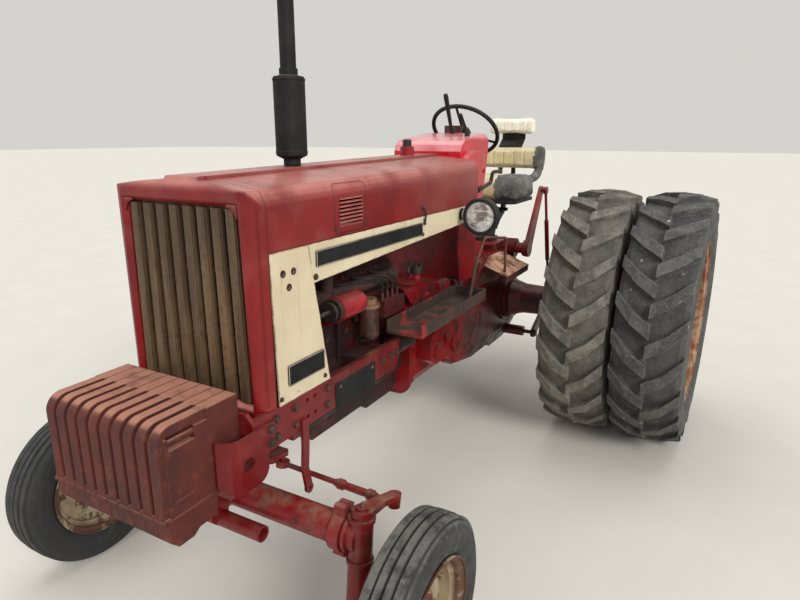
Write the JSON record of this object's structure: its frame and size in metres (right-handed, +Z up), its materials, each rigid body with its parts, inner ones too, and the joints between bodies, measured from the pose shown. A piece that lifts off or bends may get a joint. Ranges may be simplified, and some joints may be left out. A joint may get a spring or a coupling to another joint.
{
  "type": "row-crop tractor",
  "caption": "Vintage row-crop tractor with dual rear wheels, wide front axle, front weights, slatted grille, stack exhaust and rear hitch.",
  "frame": {"origin": "middle of the tractor on the floor, below the middle of its length and width", "axes": "+X to the tractor's left, +Y to its rear, +Z up; the front faces -Y"},
  "size_m": [3.0262, 4, 2.6],
  "materials": {
    "red_paint": "faded dark red gloss paint, scuffed and dusty",
    "weight_iron": "worn red-brown cast iron",
    "cream_paint": "yellowed cream paint",
    "black_metal": "satin black",
    "rusty_metal": "rusted sheet with traces of paint",
    "lens": "clear fluted glass",
    "vinyl": "worn cream vinyl with upright pleats",
    "bare_steel": "dull bare steel",
    "tyre": "dusty black rubber",
    "front_rim": "cream paint with rust",
    "rear_rim": "dark red discs in pale rusty rims",
    "wheel_rubber": "hard black plastic"
  },
  "bodies": {
    "chassis": {"side_rails": "red_paint", "front_bolster": "red_paint", "weight_bracket": "red_paint", "front_weights": "weight_iron", "nose_shell": "red_paint", "grille": "cream_paint", "radiator": "black_metal", "side_panels": "cream_paint", "hood_front": "red_paint", "hood_rear": "red_paint", "side_stripes": "cream_paint", "blank_plates": "black_metal", "dash_support": "red_paint", "fuel_tank": "black_metal", "engine_block": "red_paint", "cylinder_head": "red_paint", "manifold": "rusty_metal", "engine_fan": "black_metal", "side_units": "red_paint", "muffler_stack": "rusty_metal", "fuel_filler": "red_paint", "clutch_housing": "red_paint", "transmission_case": "red_paint", "axle_housings": "red_paint", "console": "red_paint", "steering_column": "black_metal", "headlamps": "black_metal", "lamp_lenses": "lens", "battery_tray": "rusty_metal", "stay_frame": "rusty_metal", "platforms": "rusty_metal", "pedals": "red_paint", "seat_frame": "black_metal", "seat_cushion": "vinyl", "seat_back_lower": "vinyl", "seat_back_upper": "vinyl", "control_levers": "black_metal", "drawbar": "bare_steel"},
    "front_axle": {"front_axle": "red_paint"},
    "knuckle_left": {"knuckle_left": "red_paint"},
    "knuckle_right": {"knuckle_right": "red_paint"},
    "steering_arm": {"steering_arm": "red_paint"},
    "tie_rod_left": {"tie_rod_left": "red_paint"},
    "tie_rod_right": {"tie_rod_right": "red_paint"},
    "front_wheel_left": {"front_tyre_left": "tyre", "front_rim_left": "front_rim"},
    "front_wheel_right": {"front_tyre_right": "tyre", "front_rim_right": "front_rim"},
    "rear_wheels_left": {"rear_tyres_left": "tyre", "rear_rims_left": "rear_rim"},
    "rear_wheels_right": {"rear_tyres_right": "tyre", "rear_rims_right": "rear_rim"},
    "steering_wheel": {"steering_wheel": "wheel_rubber"},
    "pto_shaft": {"pto_shaft": "bare_steel"},
    "lift_arms": {"lift_arms": "red_paint"},
    "lift_link_left": {"lift_link_left": "red_paint"},
    "lift_link_right": {"lift_link_right": "red_paint"},
    "lower_link_left": {"lower_link_left": "red_paint"},
    "lower_link_right": {"lower_link_right": "red_paint"}
  },
  "joints": [
    {"name": "axle_rock", "type": "hinge", "parent": "chassis", "child": "front_axle", "pos_m": [0, -1.50774, 0.56183], "axis": [0, 1, 0], "range_deg": [-8, 8]},
    {"name": "steer_left", "type": "hinge", "parent": "front_axle", "child": "knuckle_left", "pos_m": [0.612, -1.50909, 0.5489], "axis": [0, 0.1045, 0.9945], "range_deg": [-32, 32]},
    {"name": "steer_right", "type": "hinge", "parent": "front_axle", "child": "knuckle_right", "pos_m": [-0.612, -1.50909, 0.5489], "axis": [0, 0.1045, 0.9945], "range_deg": [-32, 32]},
    {"name": "steer_centre", "type": "hinge", "parent": "chassis", "child": "steering_arm", "pos_m": [0, -1.37532, 0.6354], "axis": [0, 0.1045, 0.9945], "range_deg": [-32, 32]},
    {"name": "tie_left", "type": "hinge", "parent": "knuckle_left", "child": "tie_rod_left", "pos_m": [0.648, -1.34245, 0.60379], "axis": [0, 0.1045, 0.9945], "range_deg": [-32, 32]},
    {"name": "tie_right", "type": "hinge", "parent": "knuckle_right", "child": "tie_rod_right", "pos_m": [-0.648, -1.34245, 0.60379], "axis": [0, 0.1045, 0.9945], "range_deg": [-32, 32]},
    {"name": "front_left_spin", "type": "hinge", "parent": "knuckle_left", "child": "front_wheel_left", "pos_m": [0.842, -1.53, 0.35], "axis": [1, 0, 0], "continuous": true},
    {"name": "front_right_spin", "type": "hinge", "parent": "knuckle_right", "child": "front_wheel_right", "pos_m": [-0.842, -1.53, 0.35], "axis": [1, 0, 0], "continuous": true},
    {"name": "rear_left_spin", "type": "hinge", "parent": "chassis", "child": "rear_wheels_left", "pos_m": [1.078, 1.006, 0.776], "axis": [1, 0, 0], "continuous": true},
    {"name": "rear_right_spin", "type": "hinge", "parent": "chassis", "child": "rear_wheels_right", "pos_m": [-1.078, 1.006, 0.776], "axis": [1, 0, 0], "continuous": true},
    {"name": "steering_wheel_turn", "type": "hinge", "parent": "chassis", "child": "steering_wheel", "pos_m": [0, 0.72, 1.905], "axis": [0, 0.682, 0.7314], "continuous": true},
    {"name": "pto_turn", "type": "hinge", "parent": "chassis", "child": "pto_shaft", "pos_m": [0, 1.2, 0.64], "axis": [0, 1, 0], "continuous": true},
    {"name": "lift", "type": "hinge", "parent": "chassis", "child": "lift_arms", "pos_m": [0, 1.13, 1.105], "axis": [1, 0, 0], "range_deg": [-45, 3]},
    {"name": "lift_link_left_turn", "type": "hinge", "parent": "lift_arms", "child": "lift_link_left", "pos_m": [0.366, 1.37376, 1.4951], "axis": [1, 0, 0], "range_deg": [-2.5, 33.5]},
    {"name": "lift_link_right_turn", "type": "hinge", "parent": "lift_arms", "child": "lift_link_right", "pos_m": [-0.366, 1.37376, 1.4951], "axis": [1, 0, 0], "range_deg": [-2.5, 33.5]},
    {"name": "lower_link_left_turn", "type": "hinge", "parent": "chassis", "child": "lower_link_left", "pos_m": [0.416, 1.105, 0.5], "axis": [1, 0, 0], "range_deg": [-33, 2.5]},
    {"name": "lower_link_right_turn", "type": "hinge", "parent": "chassis", "child": "lower_link_right", "pos_m": [-0.416, 1.105, 0.5], "axis": [1, 0, 0], "range_deg": [-33, 2.5]}
  ],
  "couplings": [
    {"joint": "steer_right", "follows": "steer_left", "ratio": 1},
    {"joint": "steer_centre", "follows": "steer_left", "ratio": 1},
    {"joint": "tie_left", "follows": "steer_left", "ratio": -1},
    {"joint": "tie_right", "follows": "steer_left", "ratio": -1},
    {"joint": "lift_link_left_turn", "follows": "lift", "ratio": -0.736},
    {"joint": "lift_link_right_turn", "follows": "lift", "ratio": -0.736},
    {"joint": "lower_link_left_turn", "follows": "lift", "ratio": 0.722},
    {"joint": "lower_link_right_turn", "follows": "lift", "ratio": 0.722}
  ]
}
